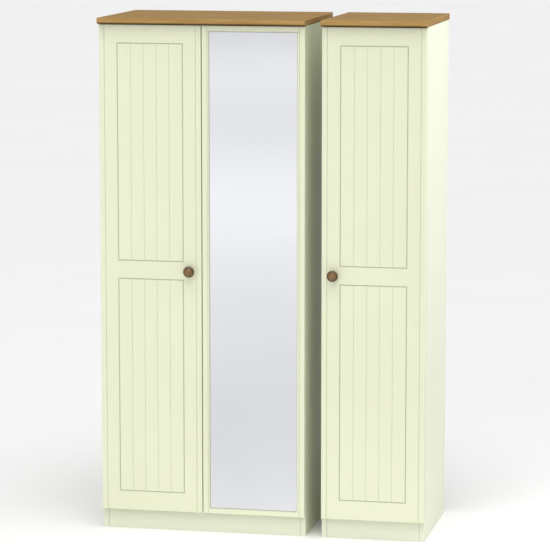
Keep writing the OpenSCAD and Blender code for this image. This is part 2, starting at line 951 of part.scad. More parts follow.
// Pressed cup with a screw flange, open on the side where the links come out
module hinge_cup() {
    difference() {
        union() {
            rod_y([cup_x, -door_gap - cup_depth + fit, 0], cup_depth - fit, cup_d);
            translate([0, -door_gap, 0]) rotate([-90, 0, 0]) linear_extrude(cup_flange_t) {
                translate([cup_x, 0]) circle(cup_d / 2 + cup_rim);
                for (s = [-1, 1]) {
                    translate([cup_x + cup_ear_x, s * cup_ear_z]) circle(cup_ear_r);
                    translate([cup_x + cup_ear_x - cup_ear_r, s * cup_ear_z / 2 - cup_ear_z / 2])
                        square([2 * cup_ear_r, cup_ear_z]);
                }
            }
        }
        rod_y([cup_x, -door_gap - cup_depth + cup_wall, 0], cup_depth + far,
              cup_d - 2 * cup_wall);
        slab([cup_x - cup_d, -door_gap - cup_depth + cup_mouth, -link_high - link_room],
             [cup_x - cup_d / 4, far, link_high + link_room]);
        for (s = [-1, 1])
            rod_y([cup_x + cup_ear_x, -door_gap - over, s * cup_ear_z],
                  cup_flange_t + 2 * over, screw_d + 2 * fit);
    }
    cup_lug(long_cup);
    low_side() cup_lug(short_cup);
}

module hinge_cups(k, right) {
    color(steel) at_hinges(k, right) hinge_cup();
}

module cup_screws(k, right) {
    color(zinc) at_hinges(k, right) for (s = [-1, 1])
        translate([cup_x + cup_ear_x, -door_gap + cup_flange_t, s * cup_ear_z])
            rotate([0, 0, 90]) wood_screw(screw_l - cup_flange_t);
}

// The pins in the cup's lugs; each reaches through its link's thin end
module cup_pins(k, right) {
    color(zinc) at_hinges(k, right) {
        translate([long_cup[0], long_cup[1], link_low])
            cylinder(r = hinge_pin_r, h = link_high - link_low);
        low_side() translate([short_cup[0], short_cup[1], link_low])
            cylinder(r = hinge_pin_r, h = link_high - link_low);
    }
}

// One of the arm's three leaves, which hold the links' pins
module arm_leaf(z0, z1, bores) {
    neck = [arm_x + arm_high / 2, arm_y[0] + arm_leaf_r];
    translate([0, 0, z0]) linear_extrude(z1 - z0) difference() {
        union() {
            bar_2d(long_arm, short_arm, arm_leaf_r);
            bar_2d(short_arm, neck, arm_leaf_r);
            bar_2d(long_arm, neck, arm_leaf_r);
            polygon([long_arm, short_arm, neck]);
            translate([arm_x, arm_y[0]]) square([arm_high, arm_foot - arm_wall / 2]);
        }
        for (p = bores) translate(p) circle(hinge_pin_r);
    }
}

// Pressed arm: a channel over the mounting plate and the leaves at its front
module hinge_arm() {
    half = outer_leaf[1];
    difference() {
        union() {
            difference() {
                slab([arm_x, arm_y[0], -half], [arm_x + arm_high, arm_y[1], half]);
                slab([arm_x - over, arm_y[0] + arm_foot, -half + arm_wall],
                     [arm_x + arm_high - arm_wall, arm_y[1] + over, half - arm_wall]);
                slab([arm_x - over, arm_y[0] - over, -half + arm_wall],
                     [arm_x + arm_high + over, arm_y[0] + arm_foot - arm_wall,
                      half - arm_wall]);
            }
            arm_leaf(-middle_leaf, middle_leaf, []);
            arm_leaf(outer_leaf[0], outer_leaf[1], []);
            arm_leaf(-outer_leaf[1], -outer_leaf[0], []);
        }
        translate([long_arm[0], long_arm[1], 0]) cylinder(r = hinge_pin_r, h = far);
        translate([short_arm[0], short_arm[1], -far]) cylinder(r = hinge_pin_r, h = far);
        rod_x([arm_x + arm_high / 2, arm_screw_y, 0], far, arm_screw_d + 2 * fit);
    }
}

module hinge_arms() {
    color(steel) at_all_hinges() hinge_arm();
}

// Mounting plate on the side panel, with two screw ears and a stem for the arm's screw
module hinge_plates() {
    color(steel) at_all_hinges() difference() {
        union() {
            slab([side_t, plate_y[0], -plate_half_h],
                 [side_t + plate_t, plate_y[1], plate_half_h]);
            rod_x([side_t, arm_screw_y, 0], arm_high - arm_wall + plate_t,
                  arm_screw_d + 2 * stem_wall);
            for (s = [-1, 1]) {
                rod_x([side_t, plate_ear_y, s * plate_ear_z], plate_t, 2 * plate_ear_r);
                slab([side_t, plate_ear_y - plate_ear_r, s * plate_ear_z / 2 - plate_ear_z / 2],
                     [side_t + plate_t, plate_ear_y + plate_ear_r,
                      s * plate_ear_z / 2 + plate_ear_z / 2]);
            }
        }
        for (s = [-1, 1])
            rod_x([side_t - over, plate_ear_y, s * plate_ear_z], plate_t + 2 * over,
                  screw_d + 2 * fit);
        rod_x([side_t + stem_floor, arm_screw_y, 0], far, stem_screw_d + 2 * fit);
    }
}

// Plate screws, and the machine screw that holds each arm on its plate
module hinge_screws() {
    color(zinc) at_all_hinges() {
        for (s = [-1, 1])
            translate([side_t + plate_t, plate_ear_y, s * plate_ear_z]) wood_screw(screw_l);
        difference() {
            union() {
                rod_x([side_t + 2 * stem_floor, arm_screw_y, 0],
                      plate_t + arm_play + arm_high - 2 * stem_floor, stem_screw_d);
                rod_x([arm_x + arm_high, arm_screw_y, 0], stem_head_t,
                      arm_screw_d + 2 * stem_wall);
            }
            for (a = [0, 90]) translate([arm_x + arm_high, arm_screw_y, 0])
                rotate([a, 0, 0]) slab([stem_head_t / 2, -stem_slot[0], -stem_slot[1]],
                                       [stem_head_t + over, stem_slot[0], stem_slot[1]]);
        }
    }
}

// The pins in the arm's leaves
module hinge_arm_pins() {
    color(zinc) at_all_hinges() {
        translate([long_arm[0], long_arm[1], 0])
            cylinder(r = hinge_pin_r, h = outer_leaf[1]);
        translate([short_arm[0], short_arm[1], -outer_leaf[1]])
            cylinder(r = hinge_pin_r, h = outer_leaf[1]);
    }
}

module left_hinge_cups() {
    hinge_cups(wide, false);
}

module left_cup_screws() {
    cup_screws(wide, false);
}

module left_cup_pins() {
    cup_pins(wide, false);
}

module left_long_links() {
    long_links(wide, false);
}

module left_short_links() {
    short_links(wide, false);
}

module mirror_hinge_cups() {
    hinge_cups(wide, true);
}

module mirror_cup_screws() {
    cup_screws(wide, true);
}

module mirror_cup_pins() {
    cup_pins(wide, true);
}

module mirror_long_links() {
    long_links(wide, true);
}

module mirror_short_links() {
    short_links(wide, true);
}

module right_hinge_cups() {
    hinge_cups(narrow, true);
}

module right_cup_screws() {
    cup_screws(narrow, true);
}

module right_cup_pins() {
    cup_pins(narrow, true);
}

module right_long_links() {
    long_links(narrow, true);
}

module right_short_links() {
    short_links(narrow, true);
}

// ---- Drawing ----

double_top();
double_left_side();
double_right_side();
double_base();
double_plinth();
double_foot_rail();
double_front_rail();
double_back_rail();
double_shelf();
double_back_left();
double_back_right();
double_back_strip();
double_hanging_rail();
single_top();
single_left_side();
single_right_side();
single_base();
single_plinth();
single_foot_rail();
single_front_rail();
single_back_rail();
single_shelf();
single_back();
single_hanging_rail();
rail_sockets();
socket_screws();
shelf_studs();
dowels();
cam_discs();
cam_bolts();
back_pins();
door_buffers();
left_door();
left_knob();
left_knob_screw();
left_hinge_cups();
left_cup_screws();
left_cup_pins();
left_long_links();
left_short_links();
mirror_door();
mirror_glass();
mirror_tape();
mirror_hinge_cups();
mirror_cup_screws();
mirror_cup_pins();
mirror_long_links();
mirror_short_links();
right_door();
right_knob();
right_knob_screw();
right_hinge_cups();
right_cup_screws();
right_cup_pins();
right_long_links();
right_short_links();
hinge_arms();
hinge_plates();
hinge_screws();
hinge_arm_pins();
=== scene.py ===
# The looks of a wardrobe with doors: a wide unit with one plain and one mirror door, and a
# narrow unit with one plain door. Metres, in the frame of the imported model.
import math

import bmesh
import bpy
from mathutils import Matrix, Vector


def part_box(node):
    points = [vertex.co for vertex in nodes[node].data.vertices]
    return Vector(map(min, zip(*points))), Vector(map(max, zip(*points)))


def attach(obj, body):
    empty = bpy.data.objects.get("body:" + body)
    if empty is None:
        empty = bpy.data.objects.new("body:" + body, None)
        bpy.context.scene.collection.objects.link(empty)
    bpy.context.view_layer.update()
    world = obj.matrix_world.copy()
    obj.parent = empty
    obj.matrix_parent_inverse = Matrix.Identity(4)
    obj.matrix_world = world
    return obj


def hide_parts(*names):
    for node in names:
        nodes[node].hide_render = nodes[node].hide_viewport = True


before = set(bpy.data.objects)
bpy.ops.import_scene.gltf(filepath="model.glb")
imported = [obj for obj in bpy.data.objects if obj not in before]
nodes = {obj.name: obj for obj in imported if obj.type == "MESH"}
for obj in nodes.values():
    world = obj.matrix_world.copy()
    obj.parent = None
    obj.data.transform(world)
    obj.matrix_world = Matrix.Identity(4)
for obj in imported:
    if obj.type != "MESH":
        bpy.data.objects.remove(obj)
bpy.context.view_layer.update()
mm = 0.001

# ---- Camera ----
# A long lens, far in front of the wardrobe, a little to its right and above its top.
camera_place, turned_left, turned_down = (
    (2.040, -9.803, 2.3705), math.radians(11.76), math.radians(8.35))
focal_length, sensor_width, far_clip = 184.47, 36, 300
camera_data = bpy.data.cameras.new("camera")
camera_data.sensor_width = sensor_width
camera_data.lens = focal_length
camera_data.clip_end = far_clip
camera = bpy.data.objects.new("camera", camera_data)
camera.location = camera_place
camera.rotation_euler = (math.pi / 2 - turned_down, 0, turned_left)
bpy.context.scene.collection.objects.link(camera)
bpy.context.scene.camera = camera


# ---- Top boards ----
# Each top is a 22 mm particle board wrapped in oak-effect foil. The foil runs over the two
# rounded long front edges, and the ends are closed with a strip whose grain runs front to
# back. It is held from below by cam bolts and dowels, so no fixing shows.

def linear(colour):
    """An sRGB hex colour as the linear colour that a shader reads."""
    parts = [int(colour[i:i + 2], 16) / 255 for i in (1, 3, 5)]
    # the two branches of the sRGB curve
    return (*[c / 12.92 if c <= 0.04045 else ((c + 0.055) / 1.055) ** 2.4 for c in parts], 1.0)


def add(tree, kind, settings=None, links=None):
    """Adds a node. settings are its properties; links are its inputs, each a value or a socket."""
    node = tree.nodes.new(kind)
    for name, value in (settings or {}).items():
        setattr(node, name, value)
    for name, value in (links or {}).items():
        if isinstance(value, bpy.types.NodeSocket):
            tree.links.new(value, node.inputs[name])
        else:
            node.inputs[name].default_value = value
    return node


def new_finish(name, **shader_values):
    """A material, its node tree and its shader, with constant values set on the shader itself."""
    material = bpy.data.materials.new(name)
    material.use_nodes = True
    shader = material.node_tree.nodes["Principled BSDF"]
    for socket, value in shader_values.items():
        shader.inputs[socket.replace("_", " ")].default_value = value
    return material, material.node_tree, shader


def colour_steps(tree, factor, steps):
    """A colour ramp through hex colours at the given positions."""
    ramp = add(tree, "ShaderNodeValToRGB", links={"Fac": factor})
    elements = ramp.color_ramp.elements
    elements[0].position, elements[0].color = steps[0][0], linear(steps[0][1])
    elements[1].position, elements[1].color = steps[-1][0], linear(steps[-1][1])
    for position, colour in steps[1:-1]:
        elements.new(position).color = linear(colour)
    return ramp.outputs["Color"]


def oak_foil(name, grain_axis, painted_upright_shade):
    """Oak print under a satin lacquer: long brown growth lines 6 to 10 mm apart, fine pores
    along them and slow changes of tone. The eye sees warm, straight-grained wood. Painted
    shade by facing: top faces are dimmed to a fixed tone, and upright faces to the given tone."""
    material, tree, shader = new_finish(name, IOR=1.5, Specular_IOR_Level=0.06)
    place = add(tree, "ShaderNodeTexCoord").outputs["Object"]
    # the print is stretched about 18 times along the grain
    grain_scale, painted_top_shade = 0.055, 0.82
    along = [1.0, 1.0, 1.0]
    along[grain_axis] = grain_scale
    lay = add(tree, "ShaderNodeMapping", links={"Vector": place, "Scale": along})
    growth = add(tree, "ShaderNodeTexNoise",
                 links={"Vector": lay.outputs[0], "Scale": 105.0, "Detail": 5.0,
                        "Roughness": 0.62, "Distortion": 0.35})
    tone = add(tree, "ShaderNodeTexNoise",
               links={"Vector": lay.outputs[0], "Scale": 22.0, "Detail": 2.0})
    pores = add(tree, "ShaderNodeTexNoise",
                links={"Vector": lay.outputs[0], "Scale": 520.0, "Detail": 2.0})
    wood = colour_steps(tree, growth.outputs["Fac"],
                        [(0.30, "#9C7946"), (0.44, "#AE8A52"), (0.58, "#B7935B"),
                         (0.72, "#BF9B64")])
    shade = add(tree, "ShaderNodeMapRange",
                links={"Value": tone.outputs["Fac"], "From Min": 0.3, "From Max": 0.7,
                       "To Min": 0.92, "To Max": 1.06})
    normal = add(tree, "ShaderNodeSeparateXYZ",
                 links={"Vector": add(tree, "ShaderNodeNewGeometry").outputs["Normal"]})
    # painted shade by facing: top faces and upright faces each take their own dimmed tone
    painted_facing_shade = add(tree, "ShaderNodeMapRange",
                links={"Value": normal.outputs["Z"], "From Min": 0.3, "From Max": 0.95,
                       "To Min": painted_upright_shade, "To Max": painted_top_shade})
    strength = add(tree, "ShaderNodeMath", {"operation": "MULTIPLY"},
                   {0: shade.outputs[0], 1: painted_facing_shade.outputs[0]})
    toned = add(tree, "ShaderNodeVectorMath", {"operation": "SCALE"},
                {"Vector": wood, "Scale": strength.outputs[0]})
    pore_dark = add(tree, "ShaderNodeMapRange",
                    links={"Value": pores.outputs["Fac"], "From Min": 0.56, "From Max": 0.7,
                           "To Min": 0.0, "To Max": 0.35})
    pored = add(tree, "ShaderNodeMix", {"data_type": "RGBA"},
                {"Factor": pore_dark.outputs[0], "A": toned.outputs[0],
                 "B": linear("#86633A")})
    # painted shade: faces that turn down, round the lower edge and underneath, darken towards dark
    # brown
    painted_underside_shade = add(tree, "ShaderNodeMapRange",
                links={"Value": normal.outputs["Z"], "From Min": -0.02, "From Max": -0.75,
                       "To Min": 0.0, "To Max": 0.95})
    mixed = add(tree, "ShaderNodeMix", {"data_type": "RGBA"},
                {"Factor": painted_underside_shade.outputs[0], "A": pored.outputs["Result"],
                 "B": linear("#3E3018")})
    rough = add(tree, "ShaderNodeMapRange",
                links={"Value": growth.outputs["Fac"], "From Min": 0.3, "From Max": 0.7,
                       "To Min": 0.66, "To Max": 0.58})
    bump = add(tree, "ShaderNodeBump",
               links={"Height": pores.outputs["Fac"], "Strength": 0.2, "Distance": 0.1 * mm})
    tree.links.new(mixed.outputs["Result"], shader.inputs["Base Color"])
    tree.links.new(rough.outputs[0], shader.inputs["Roughness"])
    tree.links.new(bump.outputs[0], shader.inputs["Normal"])
    return material


def show(name, mesh, materials, body, slot, *stands_for):
    """Puts a finished mesh in the scene as a piece that rides on a body."""
    piece = bpy.data.objects.new(name, mesh)
    bpy.context.scene.collection.objects.link(piece)
    for material in materials:
        mesh.materials.append(material)
    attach(piece, body)
    if stands_for:
        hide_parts(*stands_for)
    return piece


def soften(mesh, angle):
    """Smooth shading with sharp edges above an angle, led by the large faces."""
    mesh.shade_smooth()
    mesh.set_sharp_from_angle(angle=math.radians(angle))
    worker = bpy.data.objects.new("worker", mesh)
    bpy.context.scene.collection.objects.link(worker)
    weighted = worker.modifiers.new("weighted", "WEIGHTED_NORMAL")
    weighted.keep_sharp = True
    ready = bpy.data.meshes.new_from_object(
        worker.evaluated_get(bpy.context.evaluated_depsgraph_get()))
    ready.name = mesh.name
    bpy.data.objects.remove(worker)
    return ready


def quarter(centre, radius, start, steps):
    """Points of a quarter circle that begins at the angle start, in degrees."""
    return [(centre[0] + radius * math.cos(math.radians(start + 90 * i / steps)),
             centre[1] + radius * math.sin(math.radians(start + 90 * i / steps)))
            for i in range(steps + 1)]


def top_board_mesh(name, low, high):
    """The board's section, swept from end to end, with a rounding round both ends."""
    upper_r, lower_r, back_r, end_r, least_r = 5 * mm, 8 * mm, 0.8 * mm, 3 * mm, 0.1 * mm
    front_steps, back_steps, end_steps = 10, 3, 4
    y0, y1, z0, z1 = low.y, high.y, low.z, high.z

    def section(shrink):
        inset = max(back_r, shrink + least_r)
        back = inset - shrink
        return (quarter((y0 + lower_r, z0 + lower_r), lower_r - shrink, 180, front_steps)
                + quarter((y1 - inset, z0 + inset), back, 270, back_steps)
                + quarter((y1 - inset, z1 - inset), back, 0, back_steps)
                + quarter((y0 + upper_r, z1 - upper_r), upper_r - shrink, 90, front_steps))

    turns = [math.pi / 2 * i / end_steps for i in range(end_steps + 1)]
    rounds = [(end_r * (1 - math.sin(t)), end_r * (1 - math.cos(t))) for t in turns]
    rings = ([(low.x + reach, shrink) for reach, shrink in reversed(rounds)]
             + [(high.x - reach, shrink) for reach, shrink in rounds])
    shape = bmesh.new()
    rows = [[shape.verts.new((x, y, z)) for y, z in section(shrink)] for x, shrink in rings]
    count = len(rows[0])
    for near, far in zip(rows, rows[1:]):
        for i in range(count):
            shape.faces.new((near[i], near[(i + 1) % count], far[(i + 1) % count], far[i]))
    for end in (shape.faces.new(rows[0]), shape.faces.new(rows[-1])):
        end.material_index = 1
    bmesh.ops.recalc_face_normals(shape, faces=shape.faces[:])
    mesh = bpy.data.meshes.new(name)
    shape.to_mesh(mesh)
    shape.free()
    return soften(mesh, 35)


oak_top_foil = oak_foil("oak_effect_foil", 0, 1.0)
# the end strip copy is dimmed further on its upright end faces: painted shade
oak_end_strip = oak_foil("oak_effect_end_strip", 1, 0.72)
for unit in ("double", "single"):
    low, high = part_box(unit + "_top")
    show(unit + "_top_board", top_board_mesh(unit + "_top_board", low, high),
         [oak_top_foil, oak_end_strip], "carcass", "oak_effect_board", unit + "_top")


# ---- Carcass boards ----
# Sides, plinths, bases, shelves and rails are particle board faced with cream foil. The
# cut edges are closed with foil of the same colour, and dowels and cam bolts join them.

def cream_foil(name, colour, shadow, roughness, peel_mm):
    """Vinyl or melamine foil pressed over board: an even cream with a satin sheen, and a
    fine orange peel that breaks up its reflections a little. Gives back the material, its
    tree and shader, and the socket that holds the colour."""
    material, tree, shader = new_finish(name, IOR=1.46)
    place = add(tree, "ShaderNodeTexCoord").outputs["Object"]
    # slow change of tone over about 0.4 m, as a print roller leaves it
    cloud = add(tree, "ShaderNodeTexNoise", links={"Vector": place, "Scale": 2.5, "Detail": 1.0})
    base = colour_steps(tree, cloud.outputs["Fac"], [(0.3, shadow), (0.7, colour)])
    # the peel is drawn a few times coarser than the real 0.3 mm, so that it shows
    peel = add(tree, "ShaderNodeTexNoise",
               links={"Vector": place, "Scale": 1 / (peel_mm * mm), "Detail": 2.0})
    spread = 0.03
    rough = add(tree, "ShaderNodeMapRange",
                links={"Value": peel.outputs["Fac"], "From Min": 0.3, "From Max": 0.7,
                       "To Min": roughness - spread, "To Max": roughness + spread})
    bump = add(tree, "ShaderNodeBump",
               links={"Height": peel.outputs["Fac"], "Strength": 0.12, "Distance": 0.05 * mm})
    tree.links.new(base, shader.inputs["Base Color"])
    tree.links.new(rough.outputs[0], shader.inputs["Roughness"])
    tree.links.new(bump.outputs[0], shader.inputs["Normal"])
    return material, tree, shader, base


def finish_node(name, material):
    """Gives a carried-over CAD node its material."""
    mesh = nodes[name].data
    mesh.materials.clear()
    mesh.materials.append(material)


def edge_shadow(tree, shader, colour_socket, tint):
    """Paints shade into a board's colour where its joint attribute is high, along a butt joint:
    a fine shadow line where the two eased edges meet."""
    joint = add(tree, "ShaderNodeAttribute", {"attribute_name": "joint"})
    both = add(tree, "ShaderNodeMix", {"data_type": "RGBA"},
               {"Factor": joint.outputs["Fac"], "A": colour_socket, "B": linear(tint)})
    tree.links.new(both.outputs["Result"], shader.inputs["Base Color"])


def plinth_mesh(name, low, high):
    """A board with eased ends, where it meets the side panels, and a joint attribute that
    fades out over the width of the painted shadow line there."""
    ease, line = 0.4 * mm, 1.6 * mm
    shape = bmesh.new()
    joint = shape.verts.layers.float.new("joint")
    rings = []
    for x, shrink, dark in ((low.x, ease, 1.0), (low.x + ease, 0, 1.0), (low.x + line, 0, 0.0),
                            (high.x - line, 0, 0.0), (high.x - ease, 0, 1.0),
                            (high.x, ease, 1.0)):
        ring = [shape.verts.new((x, y, z)) for y, z in (
            (low.y + shrink, low.z), (high.y, low.z), (high.y, high.z),
            (low.y + shrink, high.z))]
        for vert in ring:
            vert[joint] = dark
        rings.append(ring)
    for near, far in zip(rings, rings[1:]):
        for i in range(4):
            shape.faces.new((near[i], near[(i + 1) % 4], far[(i + 1) % 4], far[i]))
    shape.faces.new(rings[0])
    shape.faces.new(rings[-1])
    bmesh.ops.recalc_face_normals(shape, faces=shape.faces[:])
    mesh = bpy.data.meshes.new(name)
    shape.to_mesh(mesh)
    shape.free()
    return mesh


board_finish = ("#E7EBD4", "#E4E8D0", 0.42, 1.5)
board_foil = cream_foil("cream_melamine_foil", *board_finish)[0]
for unit in ("double", "single"):
    for board in ("left_side", "right_side", "base", "foot_rail", "front_rail", "back_rail",
                  "shelf"):
        finish_node(f"{unit}_{board}", board_foil)
plinth_foil, tree, shader, base = cream_foil("cream_plinth_foil", *board_finish)
# painted shadow line at both ends of each plinth, where it meets the sides
edge_shadow(tree, shader, base, "#7F816C")
for unit in ("double", "single"):
    low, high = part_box(unit + "_plinth")
    show(unit + "_plinth_board", plinth_mesh(unit + "_plinth_board", low, high),
         [plinth_foil], "carcass", "cream_board", unit + "_plinth")


# ---- Back panels ----
# 3 mm hardboard that slides into grooves in the sides, painted cream on its front face and
# bare brown fibre behind. The wide back is two sheets joined by an H-shaped plastic strip.

hardboard, tree, shader = new_finish("painted_hardboard", IOR=1.46)
place = add(tree, "ShaderNodeTexCoord").outputs["Object"]
fibre = add(tree, "ShaderNodeTexNoise", links={"Vector": place, "Scale": 420.0, "Detail": 4.0})
brown = colour_steps(tree, fibre.outputs["Fac"],
                     [(0.3, "#6B4A30"), (0.5, "#84603F"), (0.7, "#9A754F")])
facing = add(tree, "ShaderNodeSeparateXYZ",
             links={"Vector": add(tree, "ShaderNodeNewGeometry").outputs["True Normal"]})
front = add(tree, "ShaderNodeMath", {"operation": "LESS_THAN"},
            {0: facing.outputs["Y"], 1: -0.5})
both = add(tree, "ShaderNodeMix", {"data_type": "RGBA"},
           {"Factor": front.outputs[0], "A": brown, "B": linear("#EEF0DA")})
grit = add(tree, "ShaderNodeBump",
           links={"Height": fibre.outputs["Fac"], "Strength": 0.3, "Distance": 0.1 * mm})
tree.links.new(both.outputs["Result"], shader.inputs["Base Color"])
tree.links.new(grit.outputs[0], shader.inputs["Normal"])
shader.inputs["Roughness"].default_value = 0.6
for name in ("double_back_left", "double_back_right", "single_back"):
    finish_node(name, hardboard)

white_plastic, tree, shader = new_finish("white_pvc_strip", IOR=1.5, Roughness=0.4)
place = add(tree, "ShaderNodeTexCoord").outputs["Object"]
haze = add(tree, "ShaderNodeTexNoise", links={"Vector": place, "Scale": 90.0, "Detail": 2.0})
tree.links.new(colour_steps(tree, haze.outputs["Fac"], [(0.3, "#E9E9E4"), (0.7, "#F1F1EC")]),
               shader.inputs["Base Color"])
for name in ("double_back_strip", "door_buffers", "mirror_tape"):
    finish_node(name, white_plastic)


# ---- Plain doors ----
# 18 mm fibreboard, routed on its face and wrapped in cream vinyl under vacuum, so every
# edge of the routing is soft. Two panels of tongue-and-groove planks lie inside a border
# groove, and a fine groove runs the full height beside each long edge.

long_edge_r, short_edge_r = 2.5 * mm, 1.6 * mm
edge_groove, edge_groove_w = 19.2 * mm, 3 * mm
rout_depth = 1.5 * mm
stile, top_rail, mid_rail, bottom_rail = 63.5 * mm, 62.5 * mm, 60.5 * mm, 67.5 * mm
border = 5 * mm
planks, plank_groove_w, plank_groove_depth = 5, 2.4 * mm, 1.2 * mm
cup_bore_r, cup_bore_depth = 17.6 * mm, 11.5 * mm
# grid lines across a groove, as shares of its half width
soft_edge = (-1.0, -0.8, -0.5, -0.2, 0.0, 0.2, 0.5, 0.8, 1.0)
# painted groove shade is weaker in the fine grooves than in the border groove
fine_shade = 0.55


def groove(distance, half, depth):
    """Depth of a soft-edged groove at a distance from its middle line."""
    share, flatness = abs(distance) / half, 1.6
    return 0.0 if share >= 1 else depth * (0.5 + 0.5 * math.cos(math.pi * share ** flatness))


def rounding(distance, radius):
    """How far a rounded edge falls back at a distance from the board's edge."""
    if distance >= radius:
        return 0.0
    return radius - math.sqrt(max(radius ** 2 - (radius - distance) ** 2, 0))


def edge_lines(length, radius):
    """Grid lines that follow the rounding at both ends of a length."""
    steps = 6
    fall = [radius * (1 - math.cos(math.pi / 2 * i / steps)) for i in range(steps + 1)]
    return fall + [length - f for f in fall]


def relief_board(name, low, high, from_right, lines_u, lines_v, relief):
    """A closed board whose face is sunk by relief(u, v), which also gives how much painted
    shade its foil takes there; u is measured from the hinges and v from the lower edge."""
    width, height = high.x - low.x, high.z - low.z

    def x_at(u):
        return high.x - u if from_right else low.x + u

    lines_u = sorted(set(round(u, 7) for u in lines_u + edge_lines(width, long_edge_r)))
    lines_v = sorted(set(round(v, 7) for v in lines_v + edge_lines(height, short_edge_r)))
    shape = bmesh.new()
    shaded = shape.verts.layers.float.new("groove")
    grid = []
    for v in lines_v:
        row = []
        for u in lines_u:
            cut, shade = relief(u, v)
            fall = max(rounding(min(u, width - u), long_edge_r),
                       rounding(min(v, height - v), short_edge_r))
            vert = shape.verts.new((x_at(u), low.y + max(cut, fall), low.z + v))
            vert[shaded] = shade
            row.append(vert)
        grid.append(row)
    for lower, painted_facing_shade in zip(grid, grid[1:]):
        for i in range(len(lines_u) - 1):
            shape.faces.new((lower[i], lower[i + 1], painted_facing_shade[i + 1], painted_facing_shade[i]))
    rim = (grid[0] + [row[-1] for row in grid[1:]] + grid[-1][-2::-1]
           + [row[0] for row in grid[-2:0:-1]])
    back = [shape.verts.new((vert.co.x, high.y, vert.co.z)) for vert in rim]
    for i in range(len(rim)):
        j = (i + 1) % len(rim)
        shape.faces.new((rim[i], rim[j], back[j], back[i]))
    shape.faces.new(back)
    bmesh.ops.recalc_face_normals(shape, faces=shape.faces[:])
    mesh = bpy.data.meshes.new(name)
    shape.to_mesh(mesh)
    shape.free()
    return mesh


def bored(mesh, bores, notches=()):
    """The mesh with round bores and notches cut from it. Each bore is (x, z, radius, y from,
    y to) and each notch is a box's middle and size."""
    tools, bore_segments = bmesh.new(), 48
    for middle, size in notches:
        bmesh.ops.create_cube(tools, size=1.0,
                              matrix=Matrix.Translation(middle) @ Matrix.Diagonal((*size, 1.0)))
    for x, z, radius, y0, y1 in bores:
        made = bmesh.ops.create_cone(tools, cap_ends=True, segments=bore_segments,
                                     radius1=radius, radius2=radius, depth=y1 - y0)
        place = (Matrix.Translation((x, (y0 + y1) / 2, z))
                 @ Matrix.Rotation(math.pi / 2, 4, "X"))
        bmesh.ops.transform(tools, matrix=place, verts=made["verts"])
    tool_mesh = bpy.data.meshes.new("bore_tools")
    tools.to_mesh(tool_mesh)
    tools.free()
    tool = bpy.data.objects.new("bore_tools", tool_mesh)
    worker = bpy.data.objects.new("worker", mesh)
    for thing in (tool, worker):
        bpy.context.scene.collection.objects.link(thing)
    cut = worker.modifiers.new("cut", "BOOLEAN")
    cut.object, cut.operation, cut.solver = tool, "DIFFERENCE", "EXACT"
    ready = bpy.data.meshes.new_from_object(
        worker.evaluated_get(bpy.context.evaluated_depsgraph_get()))
    ready.name = mesh.name
    for thing in (tool, worker):
        bpy.data.objects.remove(thing)
    return ready


def cup_places(door):
    """Middle of each hinge cup of a door, as (x, z)."""
    flange_reach, hinges = 28.5 * mm, 4
    low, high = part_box(door + "_hinge_cups")
    first, last = low.z + flange_reach, high.z - flange_reach
    return [((low.x + high.x) / 2, first + (last - first) * i / (hinges - 1))
            for i in range(hinges)]


def door_mesh(door, from_right, lines_u, lines_v, relief):
    """The routed board with its four cup bores. Each bore's rim is notched towards the
    hinge side, where the open short link passes."""
    past, notch_out, notch_l, notch_h, notch_depth = (
        5 * mm, 14 * mm, 10 * mm, 13.4 * mm, 1.5 * mm)
    low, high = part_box(door + "_door")
    mesh = relief_board(door + "_door_leaf", low, high, from_right, lines_u, lines_v, relief)
    bores = [(x, z, cup_bore_r, high.y - cup_bore_depth, high.y + past)
             for x, z in cup_places(door)]
    outward = notch_out if from_right else -notch_out
    notches = [((x + outward, high.y, z), (notch_l, 2 * notch_depth, notch_h))
               for x, z in cup_places(door)]
    return soften(bored(bored(mesh, bores), [], notches), 40)


def plain_face(low, high):
    """Grid lines and relief of a routed face."""
    width, height = high.x - low.x, high.z - low.z
    panel_h = (height - top_rail - mid_rail - bottom_rail) / 2
    panels = [(bottom_rail, bottom_rail + panel_h),
              (bottom_rail + panel_h + mid_rail, height - top_rail)]
    u0, u1 = stile, width - stile
    field = u1 - u0 - 2 * border
    seams = [u0 + border + field * i / planks for i in range(1, planks)]
    edges = (edge_groove, width - edge_groove)

    def relief(u, v):
        fine = max(groove(u - edge, edge_groove_w / 2, rout_depth) for edge in edges)
        ring = 0.0
        for v0, v1 in panels:
            inside = min(u - u0, u1 - u, v - v0, v1 - v)
            if inside > 0:
                ring = max(ring, groove(inside - border / 2, border / 2, rout_depth))
            if inside > border / 2:
                fine = max([fine] + [groove(u - seam, plank_groove_w / 2, plank_groove_depth)
                                     for seam in seams])
        return max(fine, ring), max(fine_shade * fine, ring) / rout_depth

    lines_u = [edge + s * edge_groove_w / 2 for edge in edges for s in soft_edge]
    lines_u += [seam + s * plank_groove_w / 2 for seam in seams for s in soft_edge]
    ring = [border / 2 * (1 + s) for s in soft_edge]
    lines_u += [u0 + r for r in ring] + [u1 - r for r in ring]
    lines_v = [v for v0, v1 in panels for r in ring for v in (v0 + r, v1 - r)]
    return lines_u, lines_v, relief


